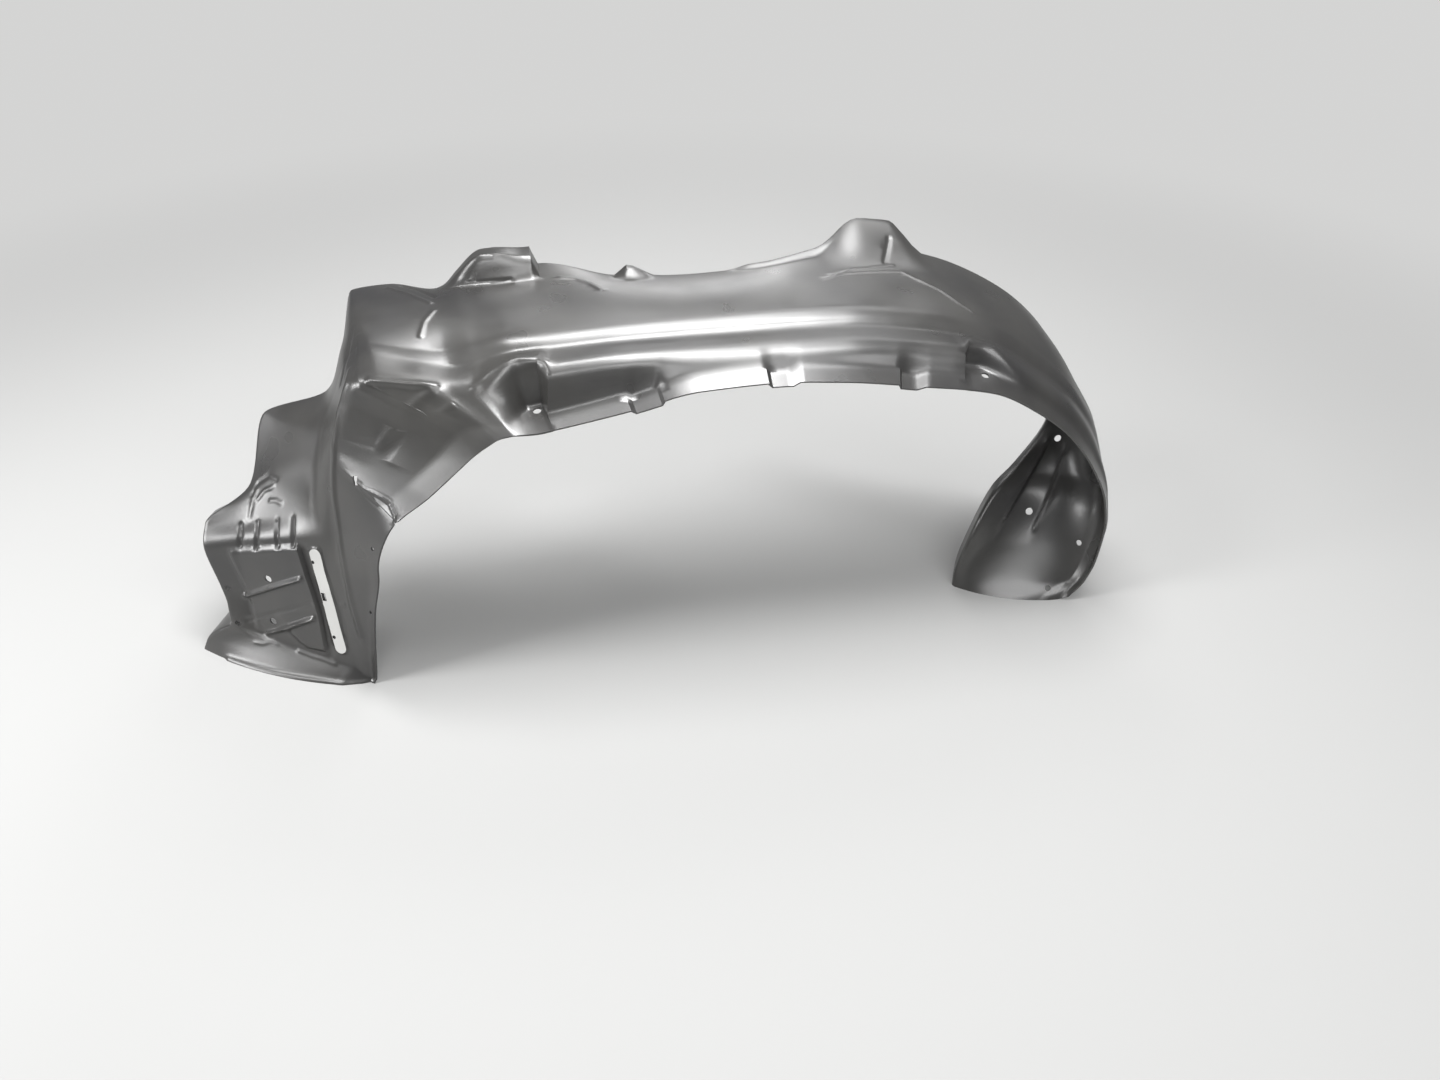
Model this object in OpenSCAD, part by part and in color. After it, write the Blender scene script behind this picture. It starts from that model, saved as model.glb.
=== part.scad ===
// Front left wheel arch liner, one thin moulded plastic shell.
// X runs along the car (front at -X), Y runs inboard, Z is up. Millimetres.
// The shell is a lofted sheet. Stations run from the front foot over the arch
// to the rear foot, and each station has a section from the fender flange
// (edge A) over the wall, the two ridges and the top to the inboard edge G.

/* [Overall size] */
// distance between the two outboard foot corners
arch_span = 740; // [700:5:780]
// height of the fender flange above the floor at the middle
arch_rise = 309; // [290:1:330]
// reach of the top surface inboard at the middle
liner_depth = 200; // [180:2:220]
// thickness of the moulded sheet
sheet_t = 2; // [1.6:0.1:2.6]

/* [Fender flange] */
// width of the flange that lies against the fender lip
flange_w = 18; // [14:0.5:22]
// rounding where the flange and the band meet the wall
bend_r = 5; // [3:0.5:6]
// rise of the flange from its free edge, in degrees from level
flange_tilt = 27; // [15:1:35]
// how far the three short lands step down from the flange
notch_step = 4; // [2:0.5:6]

/* [Ridges] */
// step from the lettering band up to the top surface
ridge_step = 10; // [6:0.5:13]
// rounding of the outboard ridge
ridge_r = 12; // [8:0.5:14]
// distance inboard over which that step rises
ridge_run = 11; // [8:0.5:13]
// rounding of the inboard ridge
step_r = 12; // [8:0.5:14]

/* [Clip pockets] */
// how far each pocket runs into the wall
pocket_depth = 22; // [14:1:26]
// how far the outboard ridge arches up over each pocket
pocket_rise = 6; // [3:0.5:8]
// diameter of the clip hole in each pocket
clip_hole_d = 8; // [6:0.5:10]

/* [Turret and tabs] */
// height of the turret at the front of the inboard edge
turret_h = 27; // [18:1:32]
// height of the rear fixing tab over the inboard edge
tab_h = 24; // [14:1:30]
// reach of the rear fixing tab past the inboard edge
tab_reach = 27; // [16:1:34]
// height of the small peak between them
peak_h = 12; // [6:1:16]
// turn-up of the inboard edge in front of the rear tab
edge_lip = 5; // [2:0.5:7]
// width of the hem turned down along the inboard edge
hem_w = 8; // [6:0.5:10]
// rounding of the inboard edge
hem_r = 4; // [2.5:0.5:5]

/* [Feet] */
// turned edge behind the rear foot
foot_edge = 26; // [16:1:32]
// depth of the long pressed panel in the rear leg
leg_fold = 3; // [1:0.5:4]

/* [Front panel] */
// length of the side wall behind the front panel, at the floor
return_len = 110; // [90:2:120]
// height of the square pad over the front panel
pad_h = 3.5; // [2:0.25:4.5]
// height of the two ribs over the pad
rib_h = 3; // [2:0.25:4]
// height of the upright fastening land
land_h = 2.5; // [1.5:0.25:3.5]
// depth of the groove beside the land
groove_h = 3; // [1.5:0.25:3.5]
// depth of the four notches over the bend above the pad
notch_h = 3; // [1.5:0.25:3.5]
// step of the outer wall over the lower flap
joggle_h = 2.5; // [1.5:0.25:3]
// width of the open slot at the end of that step
slot_w = 5; // [3:0.5:6]
// length of that slot
slot_l = 9; // [6:0.5:11]

/* [Holes] */
// two round holes in the pad
pad_hole_d = 8; // [6:0.5:10]
// two holes in the panel edge
edge_hole_d = 6; // [4:0.5:8]
// two round holes in the fastening land
land_hole_d = 4; // [3:0.5:5]
// width of the square hole in the land
land_slot_w = 5; // [4:0.5:6]
// height of the square hole in the land
land_slot_h = 9; // [6:0.5:11]
// holes beside the free edge of the front leg
flap_hole_d = 4; // [3:0.5:5]
// two upper screw holes in the rear leg
leg_hole_d = 8; // [6:0.5:9]
// two lower screw holes in the rear leg
foot_hole_d = 6.4; // [5:0.2:8]

/* [Hidden] */

// directions square to the front panel and to the rear leg
PANEL = [-0.37, -0.91, 0.18];
LEG = [0.3, 0.85, -0.43];

kx = arch_span / 740;
ky = liner_depth / 200;
kz = arch_rise / 309;

// lines plan: A (x, z), C (x, y, z), E (x, y, z), F (x, y, z), G (x, y, z)
LP = [
  [0, 0,       -11, 3, 0,       -34, 4, 0,       -105, 33, 0,     -185, 88, 0],
  [1, 3,       -10, 4, 4,       -28, 6, 6,       -107, 46, 12,    -177, 89, 14],
  [2, 8,       -9, 6, 10,       -20, 12, 17,     -112, 60, 24,    -149, 81, 33],
  [15, 90,     -10, 20, 82,     -21, 28, 70,     -112, 66, 28,    -147, 81, 38],
  [25, 128,    -12, 30, 116,    -25, 36, 104,    -117, 79, 53,    -147, 87, 57],
  [28, 148,    -13, 37, 137,    -28, 43, 124,    -122, 86, 73,    -150, 93, 75],
  [40, 178,    -13, 47, 164,    -29, 50, 150,    -118, 91, 128,   -157, 102, 120],
  [54, 197,    -4, 63, 231,     -30, 64, 174,    -104, 103, 149,  -153, 116, 140],
  [88, 222,    -1, 66, 246,     -26, 80, 204,    -82, 122, 186,   -104, 132, 172],
  [118, 247,   4, 67, 262,      -16, 100, 241,   -56, 138, 232,   -80, 165, 236],
  [132, 259,   14, 68, 288,     2, 105, 274,     -8, 135, 264,    -14, 162, 256],
  [142, 266,   30, 65, 312,     24, 102, 316,    14, 145, 312,    8, 182, 292],
  [150, 271,   56, 58, 317,     48, 96, 330,     32, 160, 340,    20, 228, 334],
  [157, 275,   88, 47, 317,     83, 84, 326,     68, 160, 342,    58, 232, 336],
  [165, 277,   118, 40, 312,    113, 79, 323,    104, 155, 344,   102, 216, 334],
  [175, 278,   146, 34, 312,    141, 77, 329,    134, 150, 346,   128, 222, 342],
  [191, 278,   180, 31, 325,    176, 76, 337,    172, 148, 346,   168, 224, 344],
  [212, 281,   214, 30, 328,    212, 75, 339,    212, 145, 346,   212, 226, 350],
  [274, 292,   280, 30, 333,    282, 75, 342,    286, 140, 346,   290, 204, 340],
  [347, 307,   350, 30, 332,    357, 75, 343,    362, 135, 345,   366, 198, 338],
  [410, 309,   408, 30, 331,    415, 75, 343,    424, 135, 345,   436, 200, 340],
  [480, 304,   490, 30, 328,    500, 75, 341,    512, 140, 344,   528, 212, 349],
  [557, 292,   566, 30, 318,    576, 75, 330,    592, 140, 338,   616, 212, 338],
  [632, 278,   640, 28, 302,    652, 70, 310,    676, 125, 312,   708, 186, 302],
  [684, 250,   692, 24, 268,    706, 62, 277,    730, 110, 276,   756, 162, 258],
  [722, 220,   735, 22, 234,    748, 55, 240,    766, 95, 232,    780, 154, 210],
  [757, 176,   770, 20, 184,    781, 48, 188,    792, 85, 176,    772, 142, 158],
  [780, 130,   790, 16, 132,    795, 40, 130,    784, 74, 122,    724, 104, 118],
  [787, 92,    794, 9, 92,      791, 24, 92,     762, 64, 92,     688, 80, 98],
  [785, 55,    787, 8, 54,      782, 21, 54,     740, 50, 52,     655, 55, 50],
  [776, 24,    774, 8, 20,      765, 16, 17,     712, 28, 14,     645, 51, 14],
  [762, 6,     753, 6, 0,       736, 7, 0,       700, 16, 0,      644, 50, 0]];
last = len(LP) - 1;

// sample stations, closer together where a feature starts or stops
ST = [
  0, 0.5, 1, 2, 2.18, 2.3, 2.45, 2.68, 2.96, 3.08, 3.22, 3.34, 3.65, 4, 4.5, 4.86, 4.95, 5.05, 5.14, 5.5,
  5.95, 6.1, 6.5, 6.97, 7.03, 7.2, 7.5, 8, 8.5, 9, 9.5, 10, 10.5, 11, 11.4, 12, 12.5, 13, 13.5, 14,
  14.35, 14.65, 15, 15.35, 15.7, 16, 16.35, 16.65, 16.74, 16.84, 17.1, 17.5, 18.08, 18.13, 18.46,
  18.51, 19, 19.5, 19.97, 20.03, 20.35, 20.4, 20.9, 21.3, 21.72, 21.77, 22.02, 22.07, 22.3,
  22.58, 22.66, 22.9, 23.2, 23.6, 24, 24.5, 25, 25.5, 26, 26.5, 27, 27.5, 28, 28.6, 29.3, 30,
  30.5, 31];

// where the samples lie between ridge E and edge G, on the front panel and on the arch
TF = [0.02, 0.09, 0.11, 0.14, 0.16, 0.18, 0.26, 0.34, 0.42, 0.51, 0.59, 0.66, 0.72, 0.77, 0.81, 0.9];
TT = [0.06, 0.12, 0.18, 0.25, 0.32, 0.4, 0.48, 0.55, 0.61, 0.67, 0.72, 0.76, 0.8, 0.84, 0.88, 0.92];

function clamp(x, a, b) = min(max(x, a), b);
function ss(a, b, x) = let (t = clamp((x - a) / (b - a), 0, 1)) t * t * (3 - 2 * t);
// grows slowly at first, then faster, up to 1
function swell(a, b, x) = pow(clamp((x - a) / (b - a), 0, 1), 1.5);
function mix(p, q, t) = p + (q - p) * t;
function unit(v) = v / max(norm(v), 0.000001);
function at3(r, k) = [r[k], r[k + 1], r[k + 2]];
function lines(r) = [[r[0], 0, r[1]], at3(r, 2), at3(r, 5), at3(r, 8), at3(r, 11)];
function to_size(p) = [p[0] * kx, p[1] * ky, p[2] * kz];

// mean distance between neighbouring stations
function gap(i) = let (p = lines(LP[i]), q = lines(LP[i + 1]))
  (norm(q[0] - p[0]) + norm(q[1] - p[1]) + norm(q[2] - p[2]) + norm(q[3] - p[3]) + norm(q[4] - p[4])) / 5;
HG = [for (i = [0 : last - 1]) gap(i)];

// slope of one column at one station, without overshoot
function fall(i, k) = (LP[i + 1][k] - LP[i][k]) / HG[i];
function slope(i, k) =
  i == 0 ? fall(0, k) :
  i == last ? fall(last - 1, k) :
  let (a = fall(i - 1, k), b = fall(i, k), u = 2 * HG[i] + HG[i - 1], v = HG[i] + 2 * HG[i - 1])
  a * b > 0 ? (u + v) / (u / a + v / b) : 0;
SL = [for (i = [0 : last]) [for (k = [0 : 13]) slope(i, k)]];

// the lines plan at any station
function plan(s) =
  let (i = min(floor(s), last - 1), t = s - i, h = HG[i])
  (2 * t * t * t - 3 * t * t + 1) * LP[i] + (t * t * t - 2 * t * t + t) * h * SL[i]
  + (3 * t * t - 2 * t * t * t) * LP[i + 1] + (t * t * t - t * t) * h * SL[i + 1];

// control points A, B, C, D, E, F, G, H of the section at station s
function ctrl(s) =
  let (
    q = lines(plan(s)),
    r = [for (p = q) to_size(p)],
    n = unit([q[1][0] - 400, 0, max(q[1][2] - 60, 0)]),
    full = lookup(s, [[0, 0.25], [6.9, 0.25], [7.1, 0.35], [14.6, 0.35], [15.6, 1], [26, 1], [27, 0.7], [28, 0.3],
      [29.3, 0.1], [31, 0.05]]),
    xa = q[0][0],
    land = ss(280, 282, xa) - ss(309, 311, xa) + ss(409, 411, xa) - ss(435, 437, xa)
      + ss(536, 538, xa) - ss(559, 561, xa),
    over = joggle_h * ss(6.97, 7.03, s) * (1 - ss(7.5, 9, s)),
    a = r[0] - land * notch_step * n - [0, over, 0],
    b = a + flange_w * full * [0, cos(flange_tilt), 0] + flange_w * full * sin(flange_tilt) * n
      + (r[1] - a) * (1 - full) * 0.25,
    xc = q[1][0],
    pk = swell(134, 180, xc) * (1 - ss(203, 209, xc)) + ss(609, 615, xc) * swell(672, 632, xc),
    rise = ss(136, 162, xc) * (1 - ss(203, 209, xc)) + ss(609, 615, xc) * (1 - ss(640, 668, xc)),
    b2 = b + [0, pocket_depth * pk, 0],
    c = r[1] + [0, pocket_depth * pk * 0.6, 0] + pocket_rise * rise * n,
    w = lookup(s, [[0, 0], [12, 0], [16, 1], [24, 1], [28, 0], [31, 0]]),
    flat = lookup(s, [[24, 0.72], [28, 0.4], [29.3, 0.45], [30.5, 0.62]]),
    d = mix(mix(c, r[2], flat), r[2] - [0, ridge_run, 0] - ridge_step * n, w),
    back = lookup(s, [[0, return_len], [2, return_len], [5, return_len * 0.82], [6, return_len * 0.5],
      [7, return_len * 0.27], [8, return_len * 0.13], [9, hem_w * 1.25], [11, hem_w], [26, hem_w],
      [28, foot_edge * 0.8], [29, foot_edge], [31, foot_edge]]),
    turn = lookup(s, [[0, 0], [6.5, 0], [8, 0.5], [10, 1], [25, 1], [27, 0], [31, 0]]),
    away = lookup(s, [[0, 0.48], [1, 0.4], [2, 0.12], [12, 0.1], [26, 0.45], [31, 0.45]]),
    dir = unit(mix(unit([away, 1, 0]), [0, 0.25, -0.97], turn))
  )
  [a, b2, c, d, r[2], r[3], r[4], r[4] + back * dir];

// three points that round the corner q between p and r, using up to the share lim of each side
function round3(p, q, r, rad, lim) =
  let (
    u = norm(p - q),
    v = norm(r - q),
    a = q + (p - q) / max(u, 0.000001) * min(rad, u * lim),
    b = q + (r - q) / max(v, 0.000001) * min(rad, v * lim)
  )
  [a, 0.25 * a + 0.5 * q + 0.25 * b, b];

// from e over f to g: a parabola, which turns into two straight parts as k goes to 1
function bow(e, f, g, t, k) =
  let (u = norm(f - e), v = norm(g - f), m = clamp(u / (u + v), 0.3, 0.8))
  mix((t - m) * (t - 1) / m * e + t * (t - 1) / (m * (m - 1)) * f + t * (t - m) / (1 - m) * g,
    t < m ? mix(e, f, t / m) : mix(f, g, (t - m) / (1 - m)), k);
// how far the bow is two straight parts at station s
function fold(s) = lookup(s, [[0, 0], [1.5, 0], [2.3, 1], [6.2, 1], [7.5, 0], [31, 0]]);

// features that stand on the arch between ridge E and edge G
function on_top(p, t) =
  let (
    x = p[0] / kx,
    y = p[1] / ky,
    tw = ss(112, 156, x) * (1 - 0.28 * ss(165, 203, x)) * (1 - ss(203, 209, x)) * ss(184, 200, y),
    pw = (x < 301 ? ss(288, 301, x) : 1 - ss(301, 332, x)) * ss(0.8, 1, t),
    lw = (ss(404, 432, x) - ss(500, 530, x)) * ss(0.9, 1, t),
    bw = ss(498, 556, x) * (1 - ss(589, 624, x))
  )
  [0, tab_reach * bw * ss(0.5, 1, t), turret_h * tw + peak_h * pw + edge_lip * lw + tab_h * bw * ss(0.55, 1, t)];

// features that stand on the front panel
function on_panel(s, t) =
  let (
    land = (ss(0, 0.02, t) - ss(0.09, 0.11, t)) * ss(2.3, 2.45, s) * (1 - ss(5.5, 5.95, s)),
    groove = (ss(0.09, 0.11, t) - ss(0.14, 0.16, t)) * ss(2, 2.18, s) * (1 - ss(5.95, 6.1, s)),
    low = ss(0.3, 0.6, t),
    pad = (ss(0.14, 0.16, t) - ss(0.77, 0.81, t)) * ss(2.18 + 0.7 * low, 2.3 + 1.7 * low, s)
      * (1 - ss(5.95, 6.1, s)),
    rib = (ss(4.86, 4.95, s) - ss(5.05, 5.14, s)) * (ss(0.18, 0.26, t) - ss(0.72, 0.77, t))
      + (ss(2.96, 3.08, s) - ss(3.22, 3.34, s)) * (ss(0.26, 0.34, t) - ss(0.59, 0.72, t)),
    notch = (ss(0.16, 0.18, t) - ss(0.18, 0.26, t) + ss(0.26, 0.34, t) - ss(0.34, 0.42, t)
      + ss(0.42, 0.51, t) - ss(0.51, 0.59, t) + ss(0.59, 0.66, t) - ss(0.66, 0.72, t))
      * ss(6.1, 6.5, s) * (1 - ss(6.97, 7.5, s))
  )
  (land * land_h - groove * groove_h + pad * pad_h + rib * rib_h - notch * notch_h) * PANEL;

// the long panel pressed into the rear leg
function on_leg(s, t) =
  let (
    u = lookup(s, [[26.7, 0.54], [27.65, 0.42], [28.7, 0.39]]),
    v = lookup(s, [[26.5, 0.84], [27.4, 0.77], [28.45, 0.72]])
  )
  leg_fold * (ss(u, u + 0.1, t) - ss(v, v + 0.1, t)) * ss(26.2, 26.8, s) * (1 - ss(28.4, 29.2, s)) * LEG;

// the rounding of ridge E, which is tighter on the front panel and on the rear leg
function round_ridge(c, s) =
  let (k = lookup(s, [[12, 0.65], [16, 1], [24, 1], [28, 0.65]]))
  round3(c[3], c[4], c[5], step_r * k, 0.21 + 0.44 * k);
function ridge_end(c, s) = round_ridge(c, s)[2];

// how far the samples have changed over from the front panel to the arch
function shift(s) = lookup(s, [[7.5, 0], [9.5, 1]]);

// a point between ridge E and edge G, tf of the way on the front panel and tt on the arch
function face_at(c, s, tf, tt) =
  let (t = mix(tf, tt, shift(s)), p = bow(ridge_end(c, s), c[5], c[6], t, fold(s)))
  p + on_top(p, t) + on_panel(s, tf) + on_leg(s, t);

// the section at station s as a list of points on the outer face
function section(s) =
  let (
    c = ctrl(s),
    rb = round3(c[0], c[1], c[2], bend_r, 0.3),
    rc = round3(c[1], c[2], c[3], ridge_r, 0.5),
    rd = round3(c[2], c[3], c[4], bend_r, 0.3),
    re = round_ridge(c, s),
    top = [for (k = [0 : len(TF) - 1]) face_at(c, s, TF[k], TT[k])],
    tip = c[6] + on_top(c[6], 1),
    end = c[7] + on_top(c[6], 1),
    rg = round3(top[len(top) - 1], tip, end, hem_r, 0.45)
  )
  concat([c[0]], rb, rc, [mix(rc[2], rd[0], 0.5)], rd, re, top, rg, [mix(rg[2], end, 0.5), end]);

OUT = [for (s = ST) section(s)];
ns = len(ST);
nv = len(OUT[0]);

// outward direction of the sheet at one grid point, level at the two feet
function facing(i, j) =
  let (
    u = OUT[min(i + 1, ns - 1)][j] - OUT[max(i - 1, 0)][j],
    v = OUT[i][min(j + 1, nv - 1)] - OUT[i][max(j - 1, 0)],
    n = unit(cross(u, v))
  )
  i == 0 || i == ns - 1 ? unit([n[0], n[1], 0]) : n;
INN = [for (i = [0 : ns - 1]) [for (j = [0 : nv - 1]) OUT[i][j] - sheet_t * facing(i, j)]];

function id(i, j, k) = (k * ns + i) * nv + j;
PTS = concat([for (r = OUT) each r], [for (r = INN) each r]);
FCS = concat(
  [for (i = [0 : ns - 2], j = [0 : nv - 2]) each [
    [id(i, j, 0), id(i + 1, j + 1, 0), id(i + 1, j, 0)], [id(i, j, 0), id(i, j + 1, 0), id(i + 1, j + 1, 0)],
    [id(i, j, 1), id(i + 1, j, 1), id(i + 1, j + 1, 1)], [id(i, j, 1), id(i + 1, j + 1, 1), id(i, j + 1, 1)]]],
  [for (i = [0 : ns - 2]) each [
    [id(i, 0, 0), id(i + 1, 0, 1), id(i, 0, 1)], [id(i, 0, 0), id(i + 1, 0, 0), id(i + 1, 0, 1)],
    [id(i, nv - 1, 0), id(i, nv - 1, 1), id(i + 1, nv - 1, 1)],
    [id(i, nv - 1, 0), id(i + 1, nv - 1, 1), id(i + 1, nv - 1, 0)]]],
  [for (j = [0 : nv - 2]) each [
    [id(0, j, 0), id(0, j, 1), id(0, j + 1, 1)], [id(0, j, 0), id(0, j + 1, 1), id(0, j + 1, 0)],
    [id(ns - 1, j, 0), id(ns - 1, j + 1, 1), id(ns - 1, j, 1)],
    [id(ns - 1, j, 0), id(ns - 1, j + 1, 0), id(ns - 1, j + 1, 1)]]]);

// a point between ridge E and edge G, under any raised feature, and a point of the control polygon
function spot(s, t) =
  let (c = ctrl(s), p = bow(ridge_end(c, s), c[5], c[6], t, fold(s)))
  p + on_top(p, t);
function corner(s, k, f) = let (c = ctrl(s)) mix(c[k], c[k + 1], f);

// cutter across the sheet at p, along n
module drill(p, n, d) {
  translate(p)
    rotate([0, acos(n[2]), atan2(n[1], n[0])])
      translate([0, 0, -9])
        cylinder(d = d, h = 18, $fn = 32);
}

module mortise(p, n, turn, a, b) {
  translate(p)
    rotate([0, acos(n[2]), atan2(n[1], n[0])])
      rotate([0, 0, turn])
        translate([-a / 2, -b / 2, -9])
          cube([a, b, 18]);
}

// the direction nearest to n that is square to the line from p to q
function across(p, q, n) = let (d = unit(q - p)) unit(n - (n * d) * d);

// a pair of parallel holes that one mating part fixes to
module pair(p, q, n, d) {
  a = across(p, q, n);
  drill(p, a, d);
  drill(q, a, d);
}

// middle of the part in X and Y, which becomes the origin
low = [min([for (p = PTS) p[0]]), min([for (p = PTS) p[1]])];
high = [max([for (p = PTS) p[0]]), max([for (p = PTS) p[1]])];

module liner() {
  color([0.09, 0.09, 0.095])
    translate([-(low[0] + high[0]) / 2, -(low[1] + high[1]) / 2, 0])
      difference() {
        polyhedron(points = PTS, faces = FCS, convexity = 12);
        // the pad of the front panel and its inboard edge
        pair(spot(5.13, 0.52), spot(3.47, 0.61), [-0.46, -0.87, 0.2], pad_hole_d);
        pair(spot(5, 0.94), spot(3.08, 0.94), [-0.26, -0.94, 0.2], edge_hole_d);
        // fastening land: a round hole at each end and a square one between
        pair(spot(5.25, 0.055), spot(2.6, 0.055), [-0.46, -0.87, 0.17], land_hole_d);
        mortise(spot(3.75, 0.055), unit([-0.46, -0.87, 0.17]), 8, land_slot_h, land_slot_w);
        // free edge of the front leg
        drill(corner(5.5, 0, 0.75), unit([-0.72, -0.64, 0.29]), flap_hole_d);
        drill(corner(3, 0, 0.6), unit([-0.77, -0.62, 0.17]), flap_hole_d);
        // slot at the end of the joggle
        mortise(corner(7.08, 1, 0.55), unit([-0.5, -0.74, 0.45]), 100, slot_w, slot_l);
        // clip pockets on the fender lip
        pair(corner(16.4, 0, 0.83), corner(22.94, 0, 0.73), [0, -0.3, 0.95], clip_hole_d);
        // rear leg
        drill(spot(26.4, 0.78), unit([0.63, 0.37, -0.68]), leg_hole_d);
        drill(spot(28.37, 0.56), unit(LEG), leg_hole_d);
        drill(spot(28.85, 0.012), unit([0.8, 0.5, -0.33]), foot_hole_d);
        drill(spot(30.4, 0.05), unit(LEG), foot_hole_d);
      }
}

liner();
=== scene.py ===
"""Looks of the front wheel arch liner.

The liner is one thin moulded sheet. It is drawn here as a fine mesh over the CAD frame, from the
same lines plan and the same named sizes as part.scad, in millimetres, and then scaled to metres.
"""

import math

import bmesh
import bpy
import numpy as np
from mathutils import Matrix, Vector


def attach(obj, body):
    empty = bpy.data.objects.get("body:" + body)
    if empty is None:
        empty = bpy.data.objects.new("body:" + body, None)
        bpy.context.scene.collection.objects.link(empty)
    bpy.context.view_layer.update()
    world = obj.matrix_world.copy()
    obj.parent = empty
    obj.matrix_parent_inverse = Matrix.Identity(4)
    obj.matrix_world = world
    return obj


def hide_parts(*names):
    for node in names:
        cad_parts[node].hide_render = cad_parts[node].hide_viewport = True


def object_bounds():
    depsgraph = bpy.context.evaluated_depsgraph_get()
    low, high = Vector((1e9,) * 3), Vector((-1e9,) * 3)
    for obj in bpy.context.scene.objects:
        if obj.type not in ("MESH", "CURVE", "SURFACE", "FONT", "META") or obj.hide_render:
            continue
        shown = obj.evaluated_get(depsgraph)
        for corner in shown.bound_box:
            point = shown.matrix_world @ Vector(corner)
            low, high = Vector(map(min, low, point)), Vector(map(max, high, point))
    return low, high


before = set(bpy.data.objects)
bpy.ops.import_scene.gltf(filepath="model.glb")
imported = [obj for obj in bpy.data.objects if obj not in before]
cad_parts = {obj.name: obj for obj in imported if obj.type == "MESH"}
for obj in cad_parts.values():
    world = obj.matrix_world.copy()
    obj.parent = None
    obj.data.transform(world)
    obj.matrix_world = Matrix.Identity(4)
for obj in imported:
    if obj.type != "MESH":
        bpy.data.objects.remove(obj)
cad_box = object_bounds()

MM = 0.001

# driving sizes, the same as in part.scad
SHEET_T = 2
FLANGE_W = 18
FLANGE_TILT = 27
NOTCH_STEP = 4
BEND_R = 5
RIDGE_STEP = 10
RIDGE_RUN = 11
RIDGE_R = 12
STEP_R = 12
POCKET_DEPTH = 22
POCKET_RISE = 6
CLIP_HOLE_D = 8
TURRET_H = 27
TAB_H = 24
TAB_REACH = 27
PEAK_H = 12
EDGE_LIP = 5
HEM_W = 8
HEM_R = 4
FOOT_EDGE = 26
LEG_FOLD = 3
RETURN_LEN = 110
PAD_H = 3.5
GROOVE_H = 1
JOGGLE_H = 2.5
SLOT_W = 5
SLOT_L = 9
PAD_HOLE_D = 8
EDGE_HOLE_D = 6
LAND_HOLE_D = 4
LAND_SLOT_W = 5
LAND_SLOT_H = 9
FLAP_HOLE_D = 4
LEG_HOLE_D = 8
FOOT_HOLE_D = 6.4

# directions square to the front panel and to the rear leg
PANEL_OUT = np.array([-0.37, -0.91, 0.18])
LEG_OUT = np.array([0.3, 0.85, -0.43])

# camera of the photograph, in the frame of the part
CAMERA_AT = (-0.1046, -1.0185, 0.8)
CAMERA_PITCH = 36
CAMERA_YAW = 10.2
CAMERA_LENS = 28
SENSOR_W = 36

# lines plan: A (x, z), C (x, y, z), E (x, y, z), F (x, y, z), G (x, y, z)
LINES = np.array([
    [0, 0, -11, 3, 0, -34, 4, 0, -105, 33, 0, -185, 88, 0],
    [1, 3, -10, 4, 4, -28, 6, 6, -107, 46, 12, -177, 89, 14],
    [2, 8, -9, 6, 10, -20, 12, 17, -112, 60, 24, -149, 81, 33],
    [15, 90, -10, 20, 82, -21, 28, 70, -112, 66, 28, -147, 81, 38],
    [25, 128, -12, 30, 116, -25, 36, 104, -117, 79, 53, -147, 87, 57],
    [28, 148, -13, 37, 137, -28, 43, 124, -122, 86, 73, -150, 93, 75],
    [40, 178, -13, 47, 164, -29, 50, 150, -118, 91, 128, -157, 102, 120],
    [54, 197, -4, 63, 231, -30, 64, 174, -104, 103, 149, -153, 116, 140],
    [88, 222, -1, 66, 246, -26, 80, 204, -82, 122, 186, -104, 132, 172],
    [118, 247, 4, 67, 262, -16, 100, 241, -56, 138, 232, -80, 165, 236],
    [132, 259, 14, 68, 288, 2, 105, 274, -8, 135, 264, -14, 162, 256],
    [142, 266, 30, 65, 312, 24, 102, 316, 14, 145, 312, 8, 182, 292],
    [150, 271, 56, 58, 317, 48, 96, 330, 32, 160, 340, 20, 228, 334],
    [157, 275, 88, 47, 317, 83, 84, 326, 68, 160, 342, 58, 232, 336],
    [165, 277, 118, 40, 312, 113, 79, 323, 104, 155, 344, 102, 216, 334],
    [175, 278, 146, 34, 312, 141, 77, 329, 134, 150, 346, 128, 222, 342],
    [191, 278, 180, 31, 325, 176, 76, 337, 172, 148, 346, 168, 224, 344],
    [212, 281, 214, 30, 328, 212, 75, 339, 212, 145, 346, 212, 226, 350],
    [274, 292, 280, 30, 333, 282, 75, 342, 286, 140, 346, 290, 204, 340],
    [347, 307, 350, 30, 332, 357, 75, 343, 362, 135, 345, 366, 198, 338],
    [410, 309, 408, 30, 331, 415, 75, 343, 424, 135, 345, 436, 200, 340],
    [480, 304, 490, 30, 328, 500, 75, 341, 512, 140, 344, 528, 212, 349],
    [557, 292, 566, 30, 318, 576, 75, 330, 592, 140, 338, 616, 212, 338],
    [632, 278, 640, 28, 302, 652, 70, 310, 676, 125, 312, 708, 186, 302],
    [684, 250, 692, 24, 268, 706, 62, 277, 730, 110, 276, 756, 162, 258],
    [722, 220, 735, 22, 234, 748, 55, 240, 766, 95, 232, 780, 154, 210],
    [757, 176, 770, 20, 184, 781, 48, 188, 792, 85, 176, 772, 142, 158],
    [780, 130, 790, 16, 132, 795, 40, 130, 784, 74, 122, 724, 104, 118],
    [787, 92, 794, 9, 92, 791, 24, 92, 762, 64, 92, 688, 80, 98],
    [785, 55, 787, 8, 54, 782, 21, 54, 740, 50, 52, 655, 55, 50],
    [776, 24, 774, 8, 20, 765, 16, 17, 712, 28, 14, 645, 51, 14],
    [762, 6, 753, 6, 0, 736, 7, 0, 700, 16, 0, 644, 50, 0]], float)
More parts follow.
